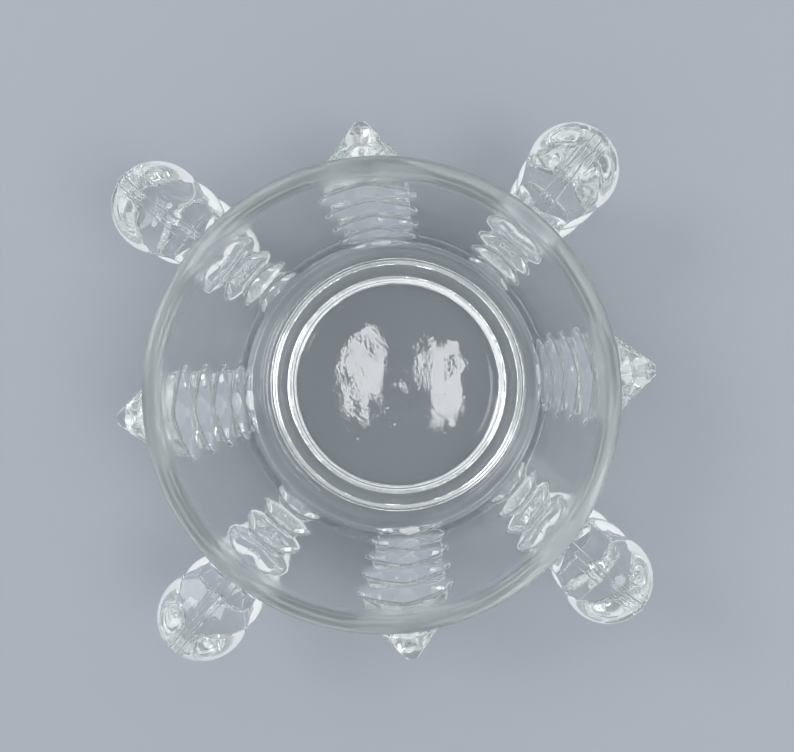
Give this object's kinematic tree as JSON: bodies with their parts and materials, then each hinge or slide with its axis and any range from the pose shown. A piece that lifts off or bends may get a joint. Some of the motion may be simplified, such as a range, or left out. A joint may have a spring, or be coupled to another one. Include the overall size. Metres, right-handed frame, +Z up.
{
  "type": "footed glass bowl",
  "caption": "Round bowl of clear pressed glass on a low foot ring, with ball-topped beaded lugs and pointed toothed lugs round its wall.",
  "frame": {"origin": "on the table, under the middle of the foot ring", "axes": "+Z up along the bowl's axis; +X out through the first pointed lug, with the ball lugs halfway between the pointed ones"},
  "size_m": [0.1792, 0.1792, 0.076],
  "materials": {
    "clear_glass": "clear, fire-polished, with a faint grey-green tint where it is thick"
  },
  "bodies": {
    "root": {"bowl_body": "clear_glass", "foot_ring": "clear_glass", "pointed_lug_1": "clear_glass", "pointed_lug_2": "clear_glass", "pointed_lug_3": "clear_glass", "pointed_lug_4": "clear_glass", "ball_lug_1": "clear_glass", "ball_lug_2": "clear_glass", "ball_lug_3": "clear_glass", "ball_lug_4": "clear_glass"}
  },
  "joints": []
}
